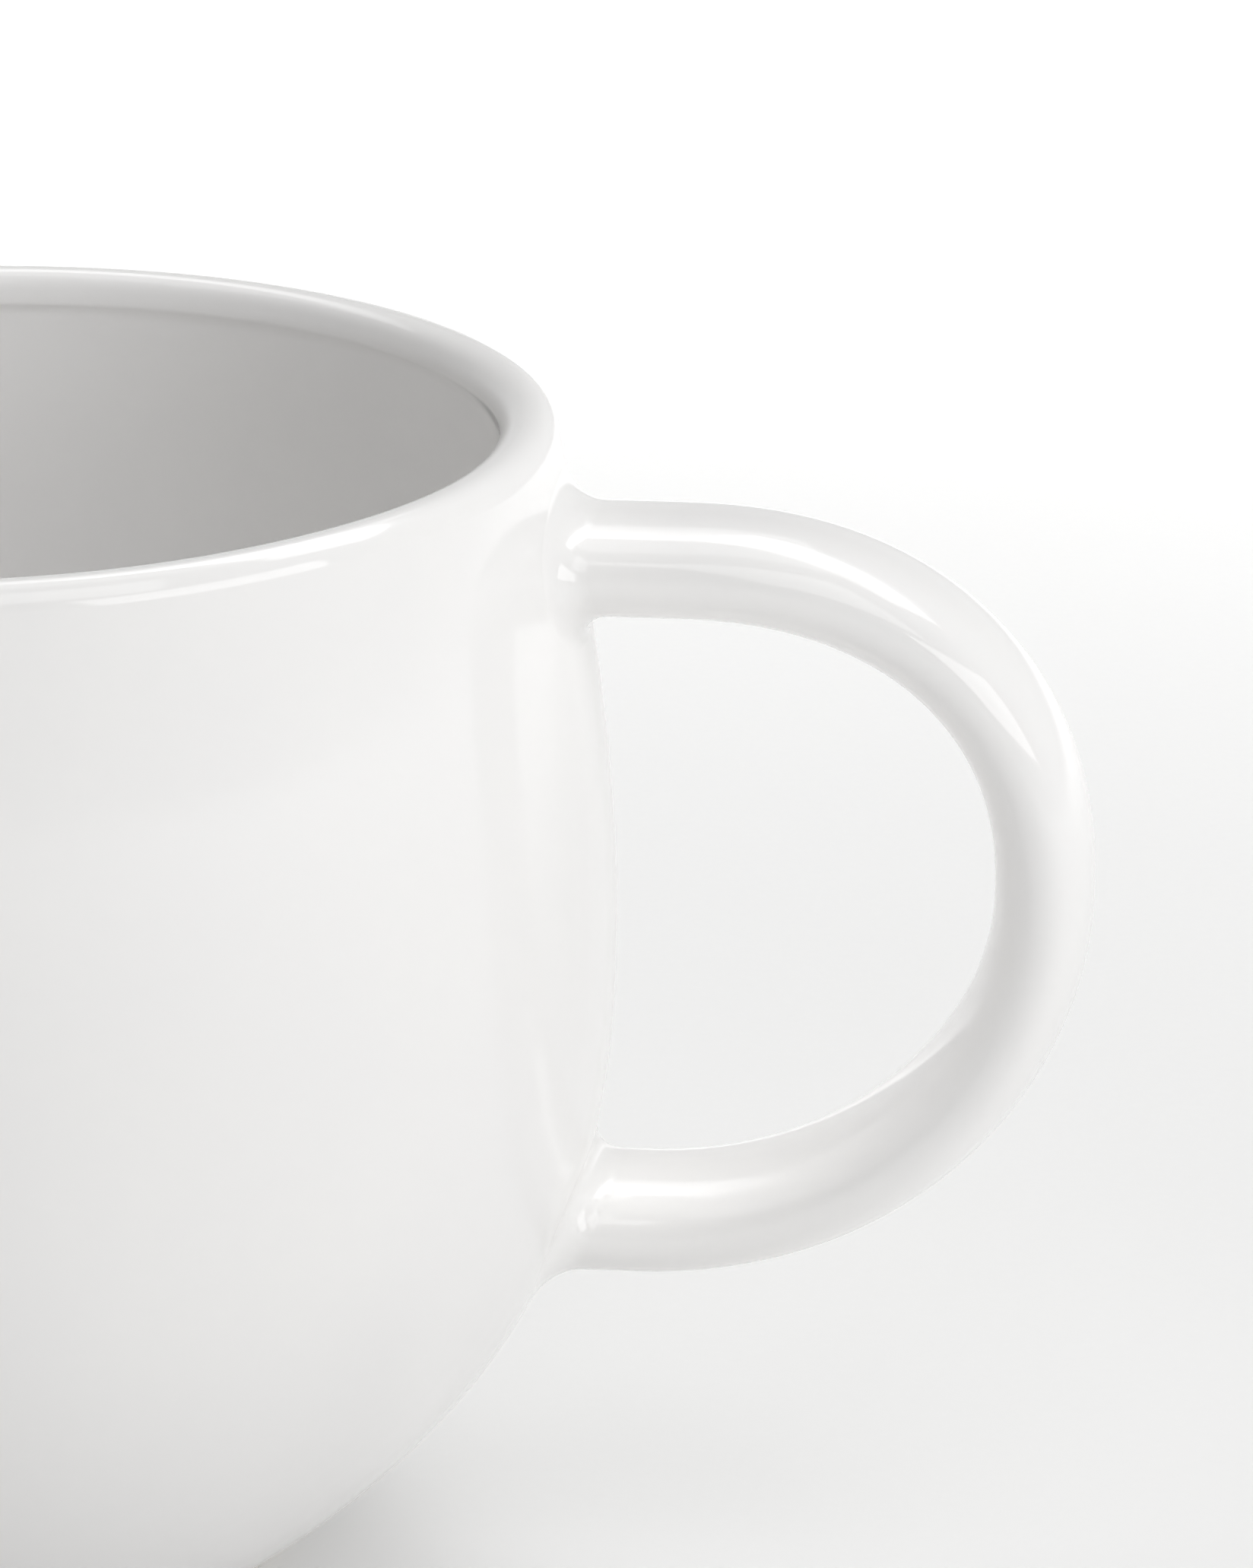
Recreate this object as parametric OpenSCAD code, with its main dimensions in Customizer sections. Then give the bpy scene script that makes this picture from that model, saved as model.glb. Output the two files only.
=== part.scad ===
// White glazed mug: a round-bottomed cup on a low foot ring, with a separately cast
// strap handle luted to its wall with slip, and a coat of clear glaze over white ware.
// Millimetres. The axis of the cup is Z, the table is z = 0 and the handle points to +X.
// Every outside size is over the glaze; the fired ware lies glaze_t underneath it.

/* [Cup] */
// Height from the table to the top of the lip
cup_h = 82; // [70:0.5:110]
// Widest outside diameter
belly_d = 90; // [80:0.5:112]
// Height of the widest place above the table
belly_z = 47; // [38:0.5:56]
// Outside diameter just under the lip
rim_d = 82.5; // [76:0.5:104]
// Thickness of the rounded lip
lip_t = 4; // [3:0.1:5]
// Thickness of the wall at the belly
wall_t = 4.2; // [3.2:0.1:5.5]
// Thickness of the floor in the middle of the cup
floor_t = 4.4; // [3:0.1:7]
// Fullness of the outer curve below the belly
lower_fullness = 2.7; // [2.2:0.1:3.4]
// Fullness of the outer curve above the belly
upper_fullness = 1.75; // [1.4:0.05:2.4]
// Squareness of the hollow where the wall turns into the floor
hollow_fullness = 2.6; // [2.3:0.1:3]

/* [Foot ring] */
// Diameter of the cup where its curve meets the foot ring
foot_d = 43; // [36:0.5:54]
// Height of the foot ring, up to the edge of the glaze
foot_h = 1.6; // [1:0.1:3]
// Width of the foot ring at the table
ring_w = 3; // [2:0.1:4.5]
// Depth of the recess inside the foot ring
recess_h = 2.2; // [1:0.1:3]
// Rounding of the foot ring's two edges
ring_edge_r = 0.5; // [0.2:0.05:0.9]

/* [Handle] */
// How far the handle stands out from the belly
handle_out = 32.3; // [24:0.5:44]
// From the top of the lip down to the middle of the upper arm
arm_drop = 8.9; // [8.5:0.1:14]
// Between the middles of the two arms
arm_gap = 46.6; // [36:0.2:50]
// From the middle of the upper arm down to the outermost place
tip_drop = 22.1; // [16:0.1:28]
// How far beyond the belly the upper arm starts to bend
upper_stub = 4.6; // [2:0.1:8]
// How far beyond the belly the lower arm starts to bend
lower_stub = 2.2; // [2:0.1:8]
// Squareness of the upper bend, where 2 is an ellipse
upper_bend = 2.25; // [2:0.05:2.8]
// Squareness of the lower bend, where 2 is an ellipse
lower_bend = 2; // [2:0.05:2.8]
// Width of the strap, across the handle
strap_w = 14; // [9:0.1:18]
// Thickness of the strap
strap_t = 6.7; // [5:0.1:8.5]
// Squareness of the strap's section, where 2 is an ellipse
strap_squareness = 2.2; // [2:0.1:3.2]

/* [Joint and glaze] */
// Radius of the slip smoothed into the corner around each end of the handle
fillet_r = 2.6; // [1.6:0.1:3.2]
// Thickness of the slip between the wall and the end of the handle
slip_t = 0.8; // [0.4:0.1:1.4]
// Thickness of the glaze
glaze_t = 0.3; // [0.2:0.05:0.5]

/* [Hidden] */

$fn = 96;
wall_steps = 36;   // levels up the outside of the wall
lip_steps = 16;    // steps round the lip
hollow_steps = 28; // steps from the belly down to the middle of the floor
section_steps = 40; // points round the strap
bend_steps = 13;   // rings along each half of the handle
fillet_steps = 6;  // steps round each fillet
cap_steps = 4;     // rings from the middle of each joint face to its edge

belly_r = belly_d / 2;
foot_r = foot_d / 2;
lip_r = lip_t / 2;
lip_z = cup_h - lip_r;
floor_z = recess_h + floor_t;

// ---- The cup's two surfaces, as a radius for each height ----

// Outside radius over the glaze
function out_r(z) = z < belly_z
    ? belly_r - (belly_r - foot_r) * pow((belly_z - z) / (belly_z - foot_h), lower_fullness)
    : belly_r - (belly_r - rim_d / 2) * pow((z - belly_z) / (lip_z - belly_z), upper_fullness);

// Change of the outside radius with height
slope_step = 0.05;
function out_slope(z) = (out_r(z + slope_step) - out_r(z - slope_step)) / (2 * slope_step);

// Radius at a depth measured square to the outside
function under_r(z, depth) = out_r(z) - depth * sqrt(1 + pow(out_slope(z), 2));

// The lip is half a round, turned until it runs smoothly into the leaning wall
lip_turn = atan(-out_slope(lip_z));
lip_start_z = lip_z + lip_r * sin(lip_turn);
lip_end_z = lip_z - lip_r * sin(lip_turn);
lip_mid_r = out_r(lip_start_z) - lip_r * cos(lip_turn);

// Wall thickness above the belly, easing from the wall's to the lip's
function wall_at(z) = wall_t + (lip_t - wall_t) * pow((z - belly_z) / (lip_end_z - belly_z), 2);

// Points up the outside, from the foot ring to the lip, under a given depth of glaze
function outside(depth) = [for (i = [0 : wall_steps])
    let (z = foot_h + (lip_start_z - foot_h) * i / wall_steps) [under_r(z, depth), z]];

// Points round the lip, between two turns counted from its outer side
function lip(depth, first, last) = [for (i = [first : last])
    let (turn = lip_turn + 180 * i / lip_steps)
    [lip_mid_r + (lip_r - depth) * cos(turn), lip_z + (lip_r - depth) * sin(turn)]];

// Points down the inside, from the lip to the middle of the floor
function inside(depth) = concat(
    [for (i = [1 : wall_steps / 3])
        let (z = lip_end_z + (belly_z - lip_end_z) * i / (wall_steps / 3))
        [under_r(z, wall_at(z) - depth), z]],
    [for (i = [1 : hollow_steps])
        let (turn = 90 * i / hollow_steps, power = 2 / hollow_fullness)
        [(belly_r - wall_t + depth) * pow(cos(turn), power),
         belly_z - (belly_z - floor_z + depth) * pow(sin(turn), power)]]);

function backwards(list) = [for (i = [len(list) - 1 : -1 : 0]) list[i]];

// ---- The foot ring ----

ring_r = under_r(foot_h, glaze_t);
recess_r = ring_r - ring_w;
recess_draft = 1;
edge_steps = 4;

// Points round one edge of the ring, about a centre that lies ring_edge_r inside it
function ring_edge(mid_r, from) = [for (i = [0 : edge_steps])
    let (turn = from + 90 * i / edge_steps)
    [mid_r + ring_edge_r * cos(turn), ring_edge_r + ring_edge_r * sin(turn)]];

foot_outline = concat(
    [[0, recess_h], [recess_r - recess_draft, recess_h]],
    ring_edge(recess_r + ring_edge_r, 180),
    ring_edge(ring_r - ring_edge_r, 270));

// ---- The handle ----

wall_edge = belly_r;
upper_z = cup_h - arm_drop;
lower_z = upper_z - arm_gap;
tip_z = upper_z - tip_drop;
tip_x = wall_edge + handle_out - strap_t / 2;
ware_t = strap_t / 2 - glaze_t;
ware_w = strap_w / 2 - glaze_t;

// A round power curve: the cosine and sine of an angle, squared off
function squared(value, power) = sign(value) * pow(abs(value), 2 / power);

// Middle of the strap, for a step from 0 at the upper stub to 2 * bend_steps at the lower
function strap_mid(i) = let (
    upper = i <= bend_steps,
    turn = 90 * min(i, 2 * bend_steps - i) / bend_steps,
    power = upper ? upper_bend : lower_bend,
    start_x = wall_edge + (upper ? upper_stub : lower_stub),
    arm_z = upper ? upper_z : lower_z)
    [start_x + (tip_x - start_x) * squared(sin(turn), power),
     tip_z + (arm_z - tip_z) * squared(cos(turn), power)];

// Direction square to the strap's middle line, away from the finger gap
aim_step = 0.1;
function strap_out(i) = let (
    ahead = strap_mid(min(i + aim_step, 2 * bend_steps)),
    behind = strap_mid(max(i - aim_step, 0)),
    along = (ahead - behind) / norm(ahead - behind))
    [-along[1], along[0]];

// One point of the strap's section: [out of the gap, across], for a half size of 1
function section(j) = let (turn = 360 * j / section_steps)
    [squared(cos(turn), strap_squareness), squared(sin(turn), strap_squareness)];

// A ring round the strap, grown by a margin
function strap_ring(i, margin) = let (mid = strap_mid(i), out = strap_out(i))
    [for (j = [0 : section_steps - 1]) let (s = section(j))
        [mid[0] + out[0] * (ware_t + margin) * s[0],
         (ware_w + margin) * s[1],
         mid[1] + out[1] * (ware_t + margin) * s[0]]];

// The ring round one end, grown by a margin, at a distance outward from the fired wall
function root_point(arm_z, up, half_t, half_w, s, off) = let (
    y = half_w * s[1], z = arm_z + up * half_t * s[0])
    [sqrt(pow(under_r(z, glaze_t), 2) - y * y) + off, y, z];
function root_ring(arm_z, up, margin, off) = [for (j = [0 : section_steps - 1])
    root_point(arm_z, up, ware_t + margin, ware_w + margin, section(j), off)];

// Rings over one end's face, from near its middle out to its edge
function root_face(arm_z, up, margin, off) = [for (k = [1 : cap_steps - 1])
    [for (j = [0 : section_steps - 1])
        root_point(arm_z, up, (ware_t + margin) * k / cap_steps,
                   (ware_w + margin) * k / cap_steps, section(j), off)]];

// Rings over a fillet, from the wall to the strap, lifted by the glaze
function fillet_rings(arm_z, up, lift) = [for (k = [0 : fillet_steps])
    let (turn = 90 * k / fillet_steps)
    root_ring(arm_z, up, fillet_r * (1 - sin(turn)) + lift * sin(turn),
              fillet_r * (1 - cos(turn)) + lift * cos(turn))];

function strap_rings(margin) = [for (i = [0 : 2 * bend_steps]) strap_ring(i, margin)];

// Faces between neighbouring rings, from ring `first` to ring `last`
function band(first, last, base) = [for (i = [first : last - 1]) for (j = [0 : section_steps - 1])
    let (a = base + i * section_steps, b = a + section_steps, k = (j + 1) % section_steps)
    each [[a + j, b + j, b + k], [a + j, b + k, a + k]]];

// A closed solid through a row of rings, with a middle point at each end
module closed_loft(start, rings, end) {
    count = len(rings);
    last = 1 + count * section_steps;
    tail = last - section_steps;
    points = concat([start], [for (ring = rings) each ring], [end]);
    start_fan = [for (j = [0 : section_steps - 1]) [0, 1 + j, 1 + (j + 1) % section_steps]];
    end_fan = [for (j = [0 : section_steps - 1]) [last, tail + (j + 1) % section_steps, tail + j]];
    polyhedron(points, concat(start_fan, band(0, count - 1, 1), end_fan), convexity = 6);
}

// A hollow sleeve: the rings run along its outside, back along its inside, and meet
module sleeve(rings) {
    around = concat(rings, [rings[0]]);
    count = len(rings);
    total = count * section_steps;
    faces = [for (face = band(0, count, 0)) [for (corner = face) corner % total]];
    polyhedron([for (ring = rings) each ring], faces, convexity = 6);
}

// One slip joint: the pad behind the handle's end and the fillet squeezed out round it
module slip_joint(arm_z, up) {
    on_wall = root_point(arm_z, up, 0, 0, [0, 0], 0);
    on_pad = root_point(arm_z, up, 0, 0, [0, 0], slip_t);
    closed_loft(on_wall, concat(
        root_face(arm_z, up, fillet_r, 0),
        fillet_rings(arm_z, up, 0),
        [root_ring(arm_z, up, 0, slip_t)],
        backwards(root_face(arm_z, up, 0, slip_t))), on_pad);
}

// The outline that one joint covers on the wall, as a bar along X
module joint_bar(arm_z, up) {
    outline = [for (j = [0 : section_steps - 1]) let (s = section(j))
        [(ware_w + fillet_r) * s[1], arm_z + up * (ware_t + fillet_r) * s[0]]];
    rotate([90, 0, 90]) linear_extrude(height = tip_x) polygon(outline);
}

// ---- The pieces ----

// Jiggered cup: wall, floor and foot ring are one piece of fired ware
module cup_body() {
    color("ivory") rotate_extrude() polygon(concat(
        foot_outline, outside(glaze_t), lip(glaze_t, 1, lip_steps), inside(glaze_t)));
}

// Cast strap handle, cut to the curve of the wall at both ends
module handle() {
    color("ivory") closed_loft(
        root_point(upper_z, 1, 0, 0, [0, 0], slip_t),
        concat(
            root_face(upper_z, 1, 0, slip_t),
            [root_ring(upper_z, 1, 0, slip_t), root_ring(upper_z, 1, 0, fillet_r)],
            strap_rings(0),
            [root_ring(lower_z, -1, 0, fillet_r), root_ring(lower_z, -1, 0, slip_t)],
            backwards(root_face(lower_z, -1, 0, slip_t))),
        root_point(lower_z, -1, 0, 0, [0, 0], slip_t));
}

module upper_slip_joint() {
    color("wheat") slip_joint(upper_z, 1);
}

module lower_slip_joint() {
    color("wheat") slip_joint(lower_z, -1);
}

// Glaze poured inside, up to the crest of the lip
module liner_glaze() {
    color("white") rotate_extrude() polygon(concat(
        lip(0, lip_steps / 2, lip_steps), inside(0),
        backwards(concat(lip(glaze_t, lip_steps / 2, lip_steps), inside(glaze_t)))));
}

// Glaze on the outside, from the foot ring to the crest of the lip, open at the joints
module outer_glaze() {
    color("white") difference() {
        rotate_extrude() polygon(concat(
            outside(0), lip(0, 1, lip_steps / 2),
            backwards(concat(outside(glaze_t), lip(glaze_t, 1, lip_steps / 2)))));
        joint_bar(upper_z, 1);
        joint_bar(lower_z, -1);
    }
}

// Glaze over the strap and both fillets, down to the wall
module handle_glaze() {
    color("white") sleeve(concat(
        fillet_rings(upper_z, 1, glaze_t), strap_rings(glaze_t),
        backwards(fillet_rings(lower_z, -1, glaze_t)), fillet_rings(lower_z, -1, 0),
        backwards(strap_rings(0)), backwards(fillet_rings(upper_z, 1, 0))));
}

// Disc of glaze left in the recess when the foot ring is wiped clean
module foot_recess_glaze() {
    color("white") translate([0, 0, recess_h - glaze_t])
        cylinder(h = glaze_t, r = recess_r - recess_draft);
}

cup_body();
handle();
upper_slip_joint();
lower_slip_joint();
liner_glaze();
outer_glaze();
handle_glaze();
foot_recess_glaze();
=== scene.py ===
import math

import bpy
import numpy as np
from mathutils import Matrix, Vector


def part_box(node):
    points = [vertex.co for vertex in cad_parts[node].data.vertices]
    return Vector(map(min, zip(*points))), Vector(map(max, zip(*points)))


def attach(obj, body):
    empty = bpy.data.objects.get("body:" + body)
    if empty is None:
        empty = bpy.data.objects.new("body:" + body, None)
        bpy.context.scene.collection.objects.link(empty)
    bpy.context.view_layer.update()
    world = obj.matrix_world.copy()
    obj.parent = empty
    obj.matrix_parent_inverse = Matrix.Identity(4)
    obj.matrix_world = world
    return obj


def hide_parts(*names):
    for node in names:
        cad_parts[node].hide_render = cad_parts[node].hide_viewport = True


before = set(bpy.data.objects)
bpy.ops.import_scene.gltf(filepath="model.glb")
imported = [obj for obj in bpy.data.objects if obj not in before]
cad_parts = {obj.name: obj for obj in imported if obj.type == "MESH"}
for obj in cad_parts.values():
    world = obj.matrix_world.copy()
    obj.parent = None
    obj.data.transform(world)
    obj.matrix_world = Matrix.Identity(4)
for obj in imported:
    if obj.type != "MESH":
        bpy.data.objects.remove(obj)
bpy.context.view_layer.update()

# ---------------------------------------------------------------------------------------
# Cup body. The wall, the floor and the low foot ring are one jiggered piece of white clay,
# fired once. Glaze covers it all but the ring it stands on, which is wiped bare and ground.
# ---------------------------------------------------------------------------------------
wall_low, wall_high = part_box("outer_glaze")
recess_low, recess_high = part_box("foot_recess_glaze")
hollow_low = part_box("liner_glaze")[0]
cup_top = wall_high.z
belly_r = wall_high.y
foot_top = wall_low.z
belly_z = 0.047
mouth_r = 0.04125
foot_r = 0.0215
lip_half = 0.002
wall_thick = 0.0042
lower_fullness = 2.7
upper_fullness = 1.75
hollow_fullness = 2.6
coat_thick = 0.0003
floor_top = hollow_low.z + coat_thick
lip_z = cup_top - lip_half


def out_radius(z):
    """Outside radius of the glazed cup at a height."""
    below = np.clip(belly_z - z, 0, None) / (belly_z - foot_top)
    above = np.clip(z - belly_z, 0, None) / (lip_z - belly_z)
    return (belly_r - (belly_r - foot_r) * below ** lower_fullness
            - (belly_r - mouth_r) * above ** upper_fullness)


def out_slope(z, step=2e-5):
    return (out_radius(z + step) - out_radius(z - step)) / (2 * step)


def under_radius(z, depth):
    """Radius at a depth measured square to the outside."""
    return out_radius(z) - depth * np.sqrt(1 + out_slope(z) ** 2)


lip_turn = math.atan(-out_slope(lip_z))
lip_start = lip_z + lip_half * math.sin(lip_turn)
lip_end = lip_z - lip_half * math.sin(lip_turn)
lip_mid_r = out_radius(lip_start) - lip_half * math.cos(lip_turn)


def cup_section(run, depth):
    """Radius and height of the cup's skin: run goes 0 to 1 up the outside, to 2 over the
    lip, to 3 down the inside at the belly, and to 4 at the middle of the floor."""
    run = np.asarray(run, float)
    depth = np.broadcast_to(depth, run.shape)
    z_out = foot_top + (lip_start - foot_top) * np.clip(run, 0, 1)
    r_out = under_radius(z_out, depth)
    turn = lip_turn + math.pi * np.clip(run - 1, 0, 1)
    r_lip = lip_mid_r + (lip_half - depth) * np.cos(turn)
    z_lip = lip_z + (lip_half - depth) * np.sin(turn)
    z_in = lip_end + (belly_z - lip_end) * np.clip(run - 2, 0, 1)
    ease = np.clip((z_in - belly_z) / (lip_end - belly_z), 0, 1) ** 2
    r_in = under_radius(z_in, wall_thick + (2 * lip_half - wall_thick) * ease - depth)
    dip = math.pi / 2 * np.clip(run - 3, 0, 1)
    power = 2 / hollow_fullness
    r_low = (belly_r - wall_thick + depth) * np.clip(np.cos(dip), 0, 1) ** power
    z_low = belly_z - (belly_z - floor_top + depth) * np.clip(np.sin(dip), 0, 1) ** power
    parts = [run <= 1, run <= 2, run <= 3]
    return (np.select(parts, [r_out, r_lip, r_in], r_low),
            np.select(parts, [z_out, z_lip, z_in], z_low))


def kiln_warp(points):
    """Clay moves a little as it dries and fires: slow waves of a few hundredths of a
    millimetre, fading out at the foot so that the mug stands flat."""
    x, y, z = points[..., 0], points[..., 1], points[..., 2]
    fade = np.clip(z / 0.012, 0, 1)
    fade = fade * fade * (3 - 2 * fade)
    moved = points.copy()
    moved[..., 0] += fade * 6e-5 * (np.sin(150 * z + 70 * y) + 0.6 * np.sin(260 * y - 90 * z))
    moved[..., 1] += fade * 6e-5 * (np.sin(130 * z - 95 * x + 1) + 0.6 * np.sin(240 * x + 60 * z))
    moved[..., 2] += fade * 3e-5 * np.sin(110 * x + 140 * y + 2)
    return moved


def on_cup(angle, run, depth):
    """Points on the cup's skin, turned about the axis."""
    r, z = cup_section(run, depth)
    angle = np.broadcast_to(angle, r.shape)
    return kiln_warp(np.stack([r * np.cos(angle), r * np.sin(angle), z], -1))


def grid_faces(rows, columns, wrap=True, start=0):
    """Faces between neighbouring rows of points. With wrap, each row closes on itself."""
    i, j = np.meshgrid(np.arange(rows - 1), np.arange(columns if wrap else columns - 1), indexing="ij")
    k = (j + 1) % columns
    corners = [i * columns + j, i * columns + k, (i + 1) * columns + k, (i + 1) * columns + j]
    return start + np.stack(corners, -1).reshape(-1, 4)


def make_piece(name, points, faces, normals=None):
    """A mesh object from points and faces. Points that coincide are one point."""
    points = np.asarray(points, float).reshape(-1, 3)
    _, first, place = np.unique(np.round(points * 1e8).astype(np.int64), axis=0,
                                return_index=True, return_inverse=True)
    place = place.reshape(-1)
    clean = []
    for face in np.concatenate([np.asarray(f) for f in faces]):
        ring = [int(place[c]) for c in face]
        ring = [c for n, c in enumerate(ring) if c != ring[n - 1]]
        if len(ring) > 2:
            clean.append(ring)
    mesh = bpy.data.meshes.new(name)
    mesh.from_pydata(points[first].tolist(), [], clean)
    mesh.update()
    mesh.polygons.foreach_set("use_smooth", [True] * len(mesh.polygons))
    if normals is None:
        mesh.set_sharp_from_angle(angle=math.radians(35))
    else:
        mesh.normals_split_custom_set_from_vertices(normals.reshape(-1, 3)[first].tolist())
    piece = bpy.data.objects.new(name, mesh)
    bpy.context.scene.collection.objects.link(piece)
    return piece


turn_steps = 288
around = np.arange(turn_steps) * 2 * math.pi / turn_steps


def turned(name, section):
    """A piece turned about the cup's axis from the outline of its section."""
    section = np.array(section, float)
    r, z = section[:, 0:1], section[:, 1:2]
    heights = np.broadcast_to(z, (len(z), turn_steps))
    points = np.stack([r * np.cos(around), r * np.sin(around), heights], -1)
    return make_piece(name, kiln_warp(points), [grid_faces(len(section), turn_steps)])


ring_r = float(under_radius(foot_top, coat_thick))
ring_width = 0.003
ring_edge = 0.0005
recess_r = recess_high.x
recess_wall_r = ring_r - ring_width


def ring_corner(mid_r, start):
    """Quarter round on the foot ring, between the standing face and one of its sides."""
    turns = np.radians(start + np.linspace(0, 90, 9))
    return [(mid_r + ring_edge * math.cos(t), ring_edge + ring_edge * math.sin(t)) for t in turns]


runs_out = np.linspace(0, 1, 90)
runs_lip = np.linspace(1, 2, 21)[1:]
runs_in = np.concatenate([np.linspace(2, 3, 40)[1:], np.linspace(3, 4, 70)[1:]])
skin_runs = np.concatenate([runs_out, runs_lip, runs_in])
ware_r, ware_z = cup_section(skin_runs, coat_thick)
foot_section = ([(0, recess_high.z), (recess_r, recess_high.z)]
                + ring_corner(recess_wall_r + ring_edge, 180)
                + ring_corner(ring_r - ring_edge, 270))
cup_ware = turned("cup_ware", foot_section + list(zip(ware_r, ware_z)))
clay_white = (0.80, 0.785, 0.75, 1)
clay_flashed = (0.74, 0.70, 0.63, 1)
clay_grit = (0.52, 0.47, 0.40, 1)


def new_finish(name):
    """An empty finish, its shader, and the place in metres that its patterns follow."""
    finish = bpy.data.materials.new(name)
    finish.use_nodes = True
    place = finish.node_tree.nodes.new("ShaderNodeTexCoord").outputs["Object"]
    return finish, finish.node_tree.nodes["Principled BSDF"], place


def step_of(finish, kind, plugs, **settings):
    """One node of a finish. A plug takes a number, a colour or the output of another."""
    node = finish.node_tree.nodes.new("ShaderNode" + kind)
    for name, value in settings.items():
        setattr(node, name, value)
    for name, value in plugs.items():
        plug_in(finish, value, node.inputs[name])
    return node


def plug_in(finish, value, socket):
    if isinstance(value, bpy.types.NodeSocket):
        finish.node_tree.links.new(value, socket)
    else:
        socket.default_value = value


def clouds(finish, place, size, detail=2.0):
    """Soft random patches of about the size given in metres, from 0 to 1."""
    plugs = {"Vector": place, "Scale": 1 / size, "Detail": detail}
    return step_of(finish, "TexNoise", plugs).outputs[0]


def dots(finish, place, spacing, radius, share):
    """Round dots, 1 in the middle and 0 outside, in a share of the cells of a loose grid."""
    cells = step_of(finish, "TexVoronoi", {"Vector": place, "Scale": 1 / spacing})
    dot = fitted(finish, cells.outputs["Distance"], 0, radius / spacing, 1, 0)
    lot = step_of(finish, "SeparateColor", {"Color": cells.outputs["Color"]})
    chosen = step_of(finish, "Math", {0: lot.outputs[0], 1: share}, operation="LESS_THAN")
    return step_of(finish, "Math", {0: dot, 1: chosen.outputs[0]}, operation="MULTIPLY").outputs[0]


def fitted(finish, value, low, high, to_low, to_high):
    """A value carried from one range to another and held inside it."""
    plugs = {"Value": value, "From Min": low, "From Max": high, "To Min": to_low, "To Max": to_high}
    return step_of(finish, "MapRange", plugs, interpolation_type="SMOOTHSTEP").outputs[0]


def blended(finish, share, first, second):
    """Two colours mixed by a share."""
    mix = step_of(finish, "Mix", {"Factor": share}, data_type="RGBA")
    plug_in(finish, first, mix.inputs[6])
    plug_in(finish, second, mix.inputs[7])
    return mix.outputs[2]


def raised(finish, height, depth, below=None):
    """Relief of a given depth in metres, on top of an earlier relief."""
    plugs = {"Height": height, "Distance": depth, "Strength": 1.0}
    if below is not None:
        plugs["Normal"] = below
    return step_of(finish, "Bump", plugs).outputs["Normal"]


def fired_clay(name, colour, flashed, grit, roughness, marks=None):
    """Bare fired clay: a dry grain, fine dark grit, and warmer patches where it flashed."""
    finish, shader, place = new_finish(name)
    patches = fitted(finish, clouds(finish, place, 0.006, 4), 0.35, 0.7, 0, 1)
    body = blended(finish, patches, colour, flashed)
    specks = dots(finish, place, 0.0016, 0.00022, 0.22)
    plug_in(finish, blended(finish, specks, body, grit), shader.inputs["Base Color"])
    grain = clouds(finish, place, 0.0004, 5)
    dryness = fitted(finish, grain, 0.3, 0.7, roughness - 0.12, roughness + 0.1)
    plug_in(finish, dryness, shader.inputs["Roughness"])
    relief = raised(finish, grain, 0.00003)
    relief = raised(finish, marks(finish, place) if marks else patches, 0.00002, relief)
    plug_in(finish, relief, shader.inputs["Normal"])
    shader.inputs["Specular IOR Level"].default_value = 0.3
    return finish


def grinding_marks(finish, place):
    """Fine rings left by the wheel that the foot is ground on."""
    waves = step_of(finish, "TexWave", {"Vector": place, "Scale": 900, "Distortion": 1.5, "Detail": 2},
                    wave_type="RINGS", rings_direction="Z")
    return waves.outputs[1]


cup_ware.data.materials.append(
    fired_clay("ground_bare_clay", clay_white, clay_flashed, clay_grit, 0.72, grinding_marks))
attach(cup_ware, "root")
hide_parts("cup_body")

# ---------------------------------------------------------------------------------------
# Handle. A strap of the same clay, cast by itself in a two-part mould, sponged smooth and
# cut at both ends to the curve of the wall that it is stuck to.
# ---------------------------------------------------------------------------------------
strap_low, strap_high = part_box("handle")
skin_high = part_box("handle_glaze")[1]
strap_thick = 0.0067
ware_half_t = strap_thick / 2 - coat_thick
ware_half_w = strap_high.y
fillet = skin_high.z - strap_high.z
upper_z = strap_high.z - ware_half_t
lower_z = strap_low.z + ware_half_t
tip_x = strap_high.x - ware_half_t
tip_z = upper_z - 0.0221
upper_stub = 0.0046
lower_stub = 0.0022
upper_bend = 2.25
lower_bend = 2.0
strap_squareness = 2.2
slip_thick = 0.0008


def squared(value, power):
    return np.sign(value) * np.abs(value) ** (2 / power)


def strap_middle(step):
    """Middle line of the bend, from 0 at the upper arm to 2 at the lower arm."""
    upper = step <= 1
    turn = math.pi / 2 * np.clip(np.where(upper, step, 2 - step), 0, 1)
    power = np.where(upper, upper_bend, lower_bend)
    start = belly_r + np.where(upper, upper_stub, lower_stub)
    arm = np.where(upper, upper_z, lower_z)
    return (start + (tip_x - start) * np.clip(np.sin(turn), 0, 1) ** (2 / power),
            tip_z + (arm - tip_z) * np.clip(np.cos(turn), 0, 1) ** (2 / power))


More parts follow.
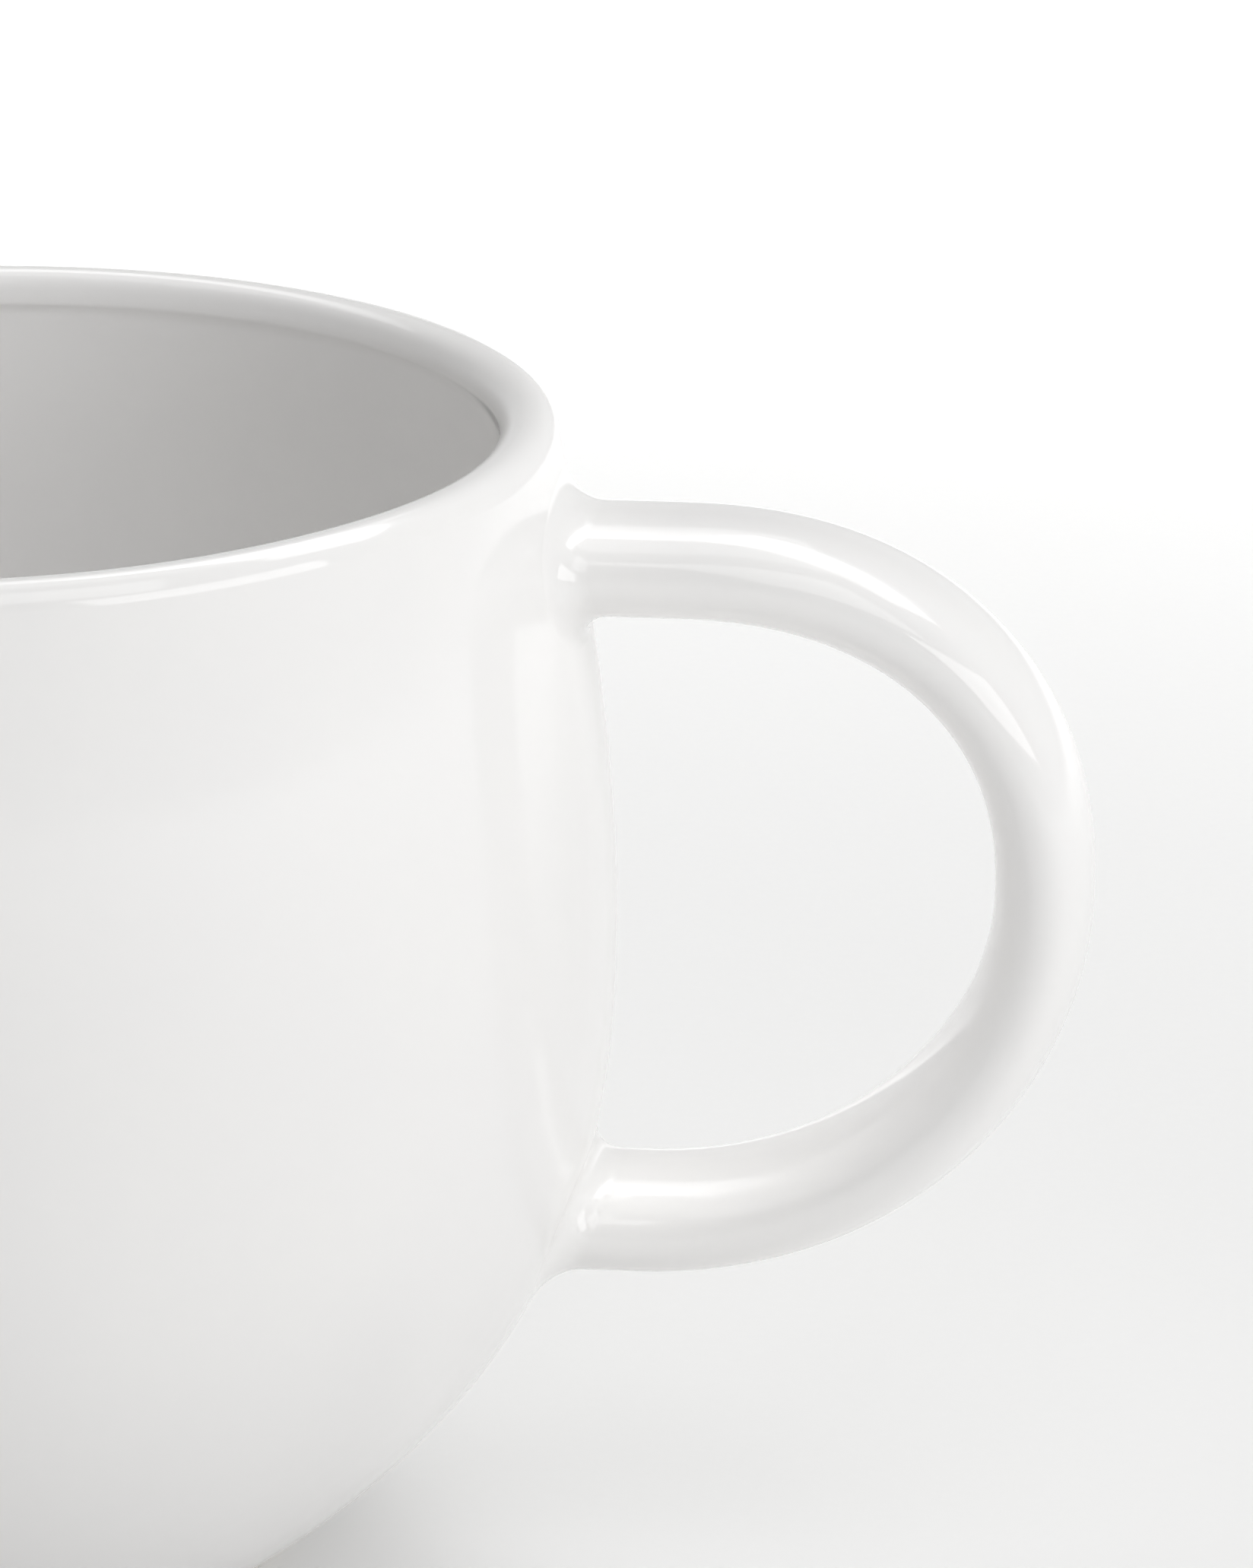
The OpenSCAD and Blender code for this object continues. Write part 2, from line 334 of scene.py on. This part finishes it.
def on_handle(along, turn, depth):
    """Points on the handle's skin. along goes 0 to 1 up the upper fillet, to 2 along its
    stub, to 4 round the bend, to 5 along the lower stub and to 6 down the lower fillet."""
    along, turn = np.broadcast_arrays(np.asarray(along, float), np.asarray(turn, float))
    upper = along <= 3
    near = np.where(upper, along, 6 - along)
    arm, up = np.where(upper, upper_z, lower_z), np.where(upper, 1, -1)
    lift = coat_thick - depth
    bend = math.pi / 2 * np.clip(near, 0, 1)
    margin = fillet * (1 - np.sin(bend)) + lift * np.sin(bend)
    out, across = squared(np.cos(turn), strap_squareness), squared(np.sin(turn), strap_squareness)
    y = (ware_half_w + margin) * across
    z = arm + up * (ware_half_t + margin) * out
    x = np.sqrt(under_radius(z, depth) ** 2 - y ** 2) + (fillet - lift) * (1 - np.cos(bend))
    x = x + (belly_r + np.where(upper, upper_stub, lower_stub) - x) * np.clip(near - 1, 0, 1)
    step = np.clip(along - 2, 0, 2)
    mid_x, mid_z = strap_middle(step)
    ahead, behind = strap_middle(np.clip(step + 1e-3, 0, 2)), strap_middle(np.clip(step - 1e-3, 0, 2))
    run_x, run_z = ahead[0] - behind[0], ahead[1] - behind[1]
    length = np.hypot(run_x, run_z)
    bent = near > 2
    x = np.where(bent, mid_x - run_z / length * (ware_half_t + lift) * out, x)
    z = np.where(bent, mid_z + run_x / length * (ware_half_t + lift) * out, z)
    return kiln_warp(np.stack([x, y, z], -1))


def on_joint(arm, up, share, turn, margin, off):
    """Points of a face that follows the bare wall, at a share of the way to its edge."""
    y = share * (ware_half_w + margin) * squared(np.sin(turn), strap_squareness)
    z = arm + up * share * (ware_half_t + margin) * squared(np.cos(turn), strap_squareness)
    return kiln_warp(np.stack([np.sqrt(under_radius(z, coat_thick) ** 2 - y ** 2) + off, y, z], -1))


strap_steps = 72
strap_turns = np.arange(strap_steps) * 2 * math.pi / strap_steps
face_shares = np.linspace(0, 1, 7)
fillet_rows = np.linspace(0, 1, 13)
bend_rows = np.concatenate([np.linspace(1, 2, 6)[1:], np.linspace(2, 4, 131)[1:], np.linspace(4, 5, 6)[1:]])


def rows_of(function, rows, *more):
    return [function(np.full(strap_steps, row), strap_turns, *more) for row in rows]


handle_rings = ([on_joint(upper_z, 1, share, strap_turns, 0, slip_thick) for share in face_shares]
                + rows_of(on_handle, [1.0], coat_thick)
                + rows_of(on_handle, bend_rows, coat_thick)
                + [on_joint(lower_z, -1, share, strap_turns, 0, slip_thick) for share in face_shares[::-1]])
handle_ware = make_piece("handle_ware", handle_rings, [grid_faces(len(handle_rings), strap_steps)[:, ::-1]])
sponged_white = (0.81, 0.80, 0.77, 1)
sponged_warm = (0.78, 0.755, 0.71, 1)


def sponge_marks(finish, place):
    """Long soft streaks left by the wet sponge, along the strap."""
    drawn = step_of(finish, "Mapping", {"Vector": place, "Scale": (0.2, 1, 0.2)}).outputs[0]
    return clouds(finish, drawn, 0.0008, 3)


handle_ware.data.materials.append(
    fired_clay("sponged_clay", sponged_white, sponged_warm, clay_grit, 0.80, sponge_marks))
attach(handle_ware, "root")
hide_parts("handle")

# ---------------------------------------------------------------------------------------
# Slip joints. Liquid clay between each end of the handle and the wall, squeezed out as the
# two are pressed together and smoothed with a wet finger into a fillet all round.
# ---------------------------------------------------------------------------------------
slip_white = (0.79, 0.775, 0.74, 1)
slip_dry = (0.83, 0.82, 0.79, 1)


def finger_marks(finish, place):
    """Shallow ripples left by the finger that smoothed the slip."""
    waves = step_of(finish, "TexWave", {"Vector": place, "Scale": 160, "Distortion": 5, "Detail": 3},
                    bands_direction="Z")
    return waves.outputs[1]


smoothed_slip = fired_clay("smoothed_slip", slip_white, slip_dry, clay_grit, 0.85, finger_marks)
for joint_name, arm, up, rows in (("upper_slip_joint", upper_z, 1, fillet_rows),
                                  ("lower_slip_joint", lower_z, -1, 6 - fillet_rows)):
    rings = ([on_joint(arm, up, share, strap_turns, fillet, 0) for share in face_shares]
             + rows_of(on_handle, rows[1:], coat_thick)
             + [on_joint(arm, up, share, strap_turns, 0, slip_thick) for share in face_shares[::-1]])
    faces = grid_faces(len(rings), strap_steps)
    joint = make_piece(joint_name.replace("joint", "fillet"), rings, [faces if up < 0 else faces[:, ::-1]])
    joint.data.materials.append(smoothed_slip)
    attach(joint, "root")
    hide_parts(joint_name)

# ---------------------------------------------------------------------------------------
# Liner glaze. Clear glossy glaze poured into the cup and out again, so that it coats the
# inside up to the crest of the lip, where it melts into the glaze of the outside.
# ---------------------------------------------------------------------------------------
crest = 1.5


def skin_of(surface, u, v, depth, step=1e-4):
    """Points of a surface given by two numbers, with the directions square to it."""
    across = surface(u + step, v, depth) - surface(u - step, v, depth)
    along = surface(u, v + step, depth) - surface(u, v - step, depth)
    square = np.cross(across, along)
    length = np.linalg.norm(square, axis=-1, keepdims=True)
    return surface(u, v, depth), square / np.maximum(length, 1e-20)


def coat(name, outer, square, inner, faces):
    """A closed thin coat: an outer skin, the same skin under it, and rims that join them."""
    outer, square, inner = (np.asarray(a, float).reshape(-1, 3) for a in (outer, square, inner))
    keys, place = np.unique(np.round(outer * 1e8).astype(np.int64), axis=0, return_inverse=True)
    place = place.reshape(-1)
    faces = np.concatenate(faces)
    edges = np.stack([faces, np.roll(faces, -1, axis=1)], -1).reshape(-1, 2)
    welded = np.sort(place[edges], axis=1)
    code = welded[:, 0] * (len(keys) + 1) + welded[:, 1]
    found, counts = np.unique(code[welded[:, 0] != welded[:, 1]], return_counts=True)
    rim = edges[np.isin(code, found[counts == 1])]
    count = len(outer)
    rims = np.stack([rim[:, 1], rim[:, 0], rim[:, 0] + count, rim[:, 1] + count], -1)
    return make_piece(name, np.concatenate([outer, inner]),
                      [faces, faces[:, ::-1] + count, rims], np.concatenate([square, -square]))


def cup_skin(angle, run, depth):
    return skin_of(on_cup, angle, run, depth)


liner_runs = skin_runs[skin_runs >= crest - 1e-9]
run_grid, angle_grid = np.meshgrid(liner_runs, around, indexing="ij")
liner_outer, liner_square = cup_skin(angle_grid, np.clip(run_grid, 0, 3.9999), 0.0)
liner_outer[-1] = liner_outer[-1].mean(0)
liner_square[-1] = (0, 0, 1)
liner_inner = on_cup(angle_grid, run_grid, coat_thick)
liner_glaze = coat("glazed_liner", liner_outer, liner_square, liner_inner,
                   [grid_faces(len(liner_runs), turn_steps)])
glaze_white = (0.925, 0.918, 0.907, 1)
glaze_cool = (0.912, 0.905, 0.900, 1)
iron_speck = (0.50, 0.44, 0.36, 1)


def melted_glaze(name, white, cool, shine_low, shine_high, peel, waves):
    """Clear gloss glaze melted over white clay: slow waves, a fine orange peel, a few
    pinholes and iron specks, and patches where the melt is a little less bright."""
    finish, shader, place = new_finish(name)
    tint = blended(finish, fitted(finish, clouds(finish, place, 0.022), 0.3, 0.7, 0, 1), white, cool)
    mottle = fitted(finish, clouds(finish, place, 0.0022, 3), 0.25, 0.75, 0.0, 0.5)
    tint = blended(finish, mottle, tint, cool)
    specks = dots(finish, place, 0.013, 0.00026, 0.12)
    tint = blended(finish, fitted(finish, specks, 0, 1, 0, 0.75), tint, iron_speck)
    plug_in(finish, tint, shader.inputs["Base Color"])
    bloom = clouds(finish, place, 0.009, 4)
    plug_in(finish, fitted(finish, bloom, 0.3, 0.75, shine_low, shine_high), shader.inputs["Roughness"])
    relief = raised(finish, clouds(finish, place, 0.016, 1), waves)
    relief = raised(finish, clouds(finish, place, 0.0016, 1), peel, relief)
    pinholes = dots(finish, place, 0.009, 0.00016, 0.10)
    plug_in(finish, raised(finish, pinholes, -0.00003, relief), shader.inputs["Normal"])
    shader.inputs["IOR"].default_value = 1.52
    return finish


liner_glaze.data.materials.append(
    melted_glaze("poured_liner_glaze", glaze_white, glaze_cool, 0.07, 0.13, 1.6e-6, 0.00003))
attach(liner_glaze, "root")
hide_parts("liner_glaze")

# ---------------------------------------------------------------------------------------
# Outer glaze. The mug is dipped after the liner, so the outside is coated from the crest of
# the lip down to the foot ring, where the coat was wiped back and ends in a rounded bead.
# ---------------------------------------------------------------------------------------
window_half = 12
window_rows = 12
window_h = lip_start - upper_z
bead_h = 0.0007
bead_steps = 7


def run_at(z):
    return (z - foot_top) / (lip_start - foot_top)


levels = [foot_top + bead_h, lower_z - window_h, lower_z + window_h, upper_z - window_h, lip_start]
level_steps = [14, window_rows, 18, window_rows]
wall_runs = np.concatenate([[run_at(levels[0])]] + [
    np.linspace(run_at(a), run_at(b), n + 1)[1:] for a, b, n in zip(levels, levels[1:], level_steps)])
outer_runs = np.concatenate([wall_runs, runs_lip[runs_lip <= crest + 1e-9]])
run_grid, angle_grid = np.meshgrid(outer_runs, around, indexing="ij")
grid = grid_faces(len(outer_runs), turn_steps)
row_of, column_of = np.divmod(np.arange(len(grid)), turn_steps)
keep = np.ones(len(grid), bool)
runs_parts, angles_parts, face_parts = [run_grid.ravel()], [angle_grid.ravel()], []
base = run_grid.size
half, rise = window_half, window_rows // 2
loop_across = np.concatenate([np.arange(half), np.full(window_rows, half), half - np.arange(2 * half),
                              np.full(window_rows, -half), np.arange(half) - half])
loop_out = np.concatenate([np.full(half, rise), rise - np.arange(window_rows), np.full(2 * half, -rise),
                           np.arange(window_rows) - rise, np.full(half, rise)])
for arm, up, mid_row in ((lower_z, -1, level_steps[0] + rise), (upper_z, 1, sum(level_steps[:3]) + rise)):
    near_arm = (column_of < half) | (column_of >= turn_steps - half)
    in_window = (abs(row_of + 0.5 - mid_row) < rise) & near_arm
    keep &= ~in_window
    edge_run = outer_runs[mid_row + up * loop_out]
    edge_angle = loop_across * 2 * math.pi / turn_steps
    hole_z = arm + up * (ware_half_t + fillet) * squared(np.cos(strap_turns), strap_squareness)
    hole_y = (ware_half_w + fillet) * squared(np.sin(strap_turns), strap_squareness)
    hole_angle = np.arcsin(hole_y / under_radius(hole_z, 0.0))
    share = np.linspace(0, 1, 6)[:, None]
    runs_parts.append((run_at(hole_z) + (edge_run - run_at(hole_z)) * share).ravel())
    angles_parts.append((hole_angle + (edge_angle - hole_angle) * share).ravel())
    ring = grid_faces(len(share), strap_steps, start=base)
    face_parts.append(ring if up > 0 else ring[:, ::-1])
    base += len(share) * strap_steps
bead_turns = np.linspace(0, math.pi / 2, bead_steps)
bead_runs = np.repeat(run_at(foot_top + bead_h * (1 - np.cos(bead_turns))), turn_steps)
bead_depth = np.repeat(coat_thick * (1 - np.sin(bead_turns)), turn_steps)
bead_faces = grid_faces(bead_steps, turn_steps, start=base)
all_runs = np.concatenate(runs_parts + [bead_runs])
all_angles = np.concatenate(angles_parts + [np.tile(around, bead_steps)])
all_depths = np.concatenate([np.zeros(base), bead_depth])
outer_points, outer_square = cup_skin(all_angles, all_runs, all_depths)
outer_inner = on_cup(all_angles, all_runs, coat_thick)
outer_glaze = coat("glazed_outside", outer_points, outer_square, outer_inner,
                   [grid[keep]] + face_parts + [bead_faces])
outer_glaze.data.materials.append(
    melted_glaze("dipped_wall_glaze", glaze_white, glaze_cool, 0.05, 0.10, 1.6e-6, 0.00003))
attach(outer_glaze, "root")
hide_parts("outer_glaze")

# ---------------------------------------------------------------------------------------
# Handle glaze. The same dip coats the strap and both fillets, and melts in the kiln into
# the coat on the wall.
# ---------------------------------------------------------------------------------------
handle_rows = np.concatenate([fillet_rows, bend_rows, 6 - fillet_rows[::-1][1:]])
row_grid, strap_grid = np.meshgrid(handle_rows, strap_turns, indexing="ij")
handle_points, handle_square = skin_of(on_handle, row_grid, strap_grid, 0.0)
handle_inner = on_handle(row_grid, strap_grid, coat_thick)
handle_glaze = coat("glazed_handle", handle_points, handle_square, handle_inner,
                    [grid_faces(len(handle_rows), strap_steps)[:, ::-1]])
handle_glaze.data.materials.append(
    melted_glaze("dipped_strap_glaze", glaze_white, glaze_cool, 0.05, 0.10, 1.6e-6, 0.00002))
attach(handle_glaze, "root")
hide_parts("handle_glaze")

# ---------------------------------------------------------------------------------------
# Foot recess glaze. When the ring is wiped clean after the dip, a disc of glaze is left
# inside it. Its edge draws in and rounds over as it melts.
# ---------------------------------------------------------------------------------------
recess_edge = 0.0006
recess_turns = np.linspace(0, math.pi / 2, 8)
recess_section = [(0, recess_low.z)]
recess_section += [(recess_r * share, recess_low.z) for share in np.linspace(0.1, 0.9, 9)]
recess_section += [(recess_r - recess_edge * (1 - math.sin(t)), recess_high.z - coat_thick * math.cos(t))
                   for t in recess_turns]
recess_section += [(0, recess_high.z)]
recess_glaze = turned("glazed_recess", recess_section)
recess_glaze.data.materials.append(
    melted_glaze("pooled_recess_glaze", glaze_white, glaze_cool, 0.08, 0.18, 2.4e-6, 0.00004))
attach(recess_glaze, "root")
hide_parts("foot_recess_glaze")

# ---------------------------------------------------------------------------------------
# Studio. A plain pale table in a pale room, lit by four softboxes around the mug and one
# over the table behind it. The table glows faintly, so that it stays pale far from the lights.
# ---------------------------------------------------------------------------------------
table = bpy.data.meshes.new("table_top")
half_table = 2.5
table_corners = [(-half_table, -half_table, 0), (half_table, -half_table, 0),
                 (half_table, half_table, 0), (-half_table, half_table, 0)]
table.from_pydata(table_corners, [], [(0, 1, 2, 3)])
table_top = bpy.data.objects.new("table_top", table)
bpy.context.scene.collection.objects.link(table_top)

eye_tilt = math.radians(18.77)
eye_turn = math.radians(5.6)
eye_far = 0.430
aim_x, aim_z = 0.04563, 0.05577
look = np.array([0, math.cos(eye_tilt), -math.sin(eye_tilt)])
eye = np.array([aim_x, 0, aim_z]) - eye_far * look
camera_data = bpy.data.cameras.new("camera")
camera_data.sensor_width = 36
camera_data.lens = 145.5
camera_data.clip_start = 0.01
camera = bpy.data.objects.new("camera", camera_data)
camera.location = (eye[0] * math.cos(eye_turn) - eye[1] * math.sin(eye_turn),
                   eye[0] * math.sin(eye_turn) + eye[1] * math.cos(eye_turn), eye[2])
camera.rotation_euler = (math.pi / 2 - eye_tilt, 0, eye_turn)
bpy.context.scene.collection.objects.link(camera)
bpy.context.scene.camera = camera

table_white = (0.76, 0.76, 0.755, 1)
table_shade = (0.745, 0.745, 0.74, 1)
laminate, laminate_shader, laminate_place = new_finish("matte_white_laminate")
laminate_tint = blended(laminate, clouds(laminate, laminate_place, 0.05, 3), table_white, table_shade)
plug_in(laminate, laminate_tint, laminate_shader.inputs["Base Color"])
laminate_grain = clouds(laminate, laminate_place, 0.0009, 2)
laminate_sheen = fitted(laminate, laminate_grain, 0.3, 0.7, 0.55, 0.7)
plug_in(laminate, laminate_sheen, laminate_shader.inputs["Roughness"])
plug_in(laminate, raised(laminate, laminate_grain, 0.00001), laminate_shader.inputs["Normal"])
laminate_shader.inputs["Specular IOR Level"].default_value = 0.2
# Painted light: the table top glows by itself, weakly by the mug and more strongly away from it, on top of
# the light from the lamps.
laminate_shader.inputs["Emission Color"].default_value = (1, 1, 1, 1)
glow_near, glow_far = 0.11, 0.53
glow_start, glow_full = 0.1, 0.7
from_mug = step_of(laminate, "VectorMath", {"Vector": laminate_place}, operation="LENGTH")
table_glow = fitted(laminate, from_mug.outputs["Value"], glow_start, glow_full, glow_near, glow_far)
plug_in(laminate, table_glow, laminate_shader.inputs["Emission Strength"])
table.materials.append(laminate)

room = bpy.data.worlds.new("pale_room")
room.use_nodes = True
room_light = room.node_tree.nodes["Background"]
room_light.inputs["Color"].default_value = (1, 1, 1, 1)
wall_light, ceiling_light = 0.62, 0.25
direction = step_of(room, "TexCoord", {})
split = step_of(room, "SeparateXYZ", {"Vector": direction.outputs["Generated"]})
room_glow = fitted(room, split.outputs["Z"], 0.02, 0.40, wall_light, ceiling_light)
plug_in(room, room_glow, room_light.inputs["Strength"])
bpy.context.scene.world = room
bpy.context.scene.view_settings.view_transform = "Standard"


mug_middle = (0.02, 0, 0.045)
behind_mug = (0.05, 0.70, 0)
softbox_far = 0.9


def softbox(name, bearing, height, width, depth, brightness, target=mug_middle):
    """A flat diffuser aimed at a target, placed by its bearing and height in degrees."""
    light = bpy.data.lights.new(name, "AREA")
    light.shape = "RECTANGLE"
    light.size, light.size_y = width, depth
    light.energy = brightness * math.pi * width * depth
    turn, rise = math.radians(bearing), math.radians(height)
    away = Vector((math.cos(rise) * math.cos(turn), math.cos(rise) * math.sin(turn), math.sin(rise)))
    stand = bpy.data.objects.new(name, light)
    stand.location = Vector(target) + softbox_far * away
    stand.rotation_euler = away.to_track_quat("Z", "Y").to_euler()
    stand.visible_camera = False
    bpy.context.scene.collection.objects.link(stand)
    return light


softbox("front_right_softbox", -30, 22, 0.78, 0.38, 2.55)
softbox("front_overhead_softbox", -60, 58, 0.60, 0.60, 1.5)
softbox("right_overhead_softbox", 54, 55, 0.72, 0.26, 2.8)
softbox("rear_overhead_softbox", 110, 62, 0.90, 0.70, 0.9)
table_light = softbox("table_light", 90, 90, 1.60, 0.40, 1.3, behind_mug)
table_light.spread = math.radians(100)
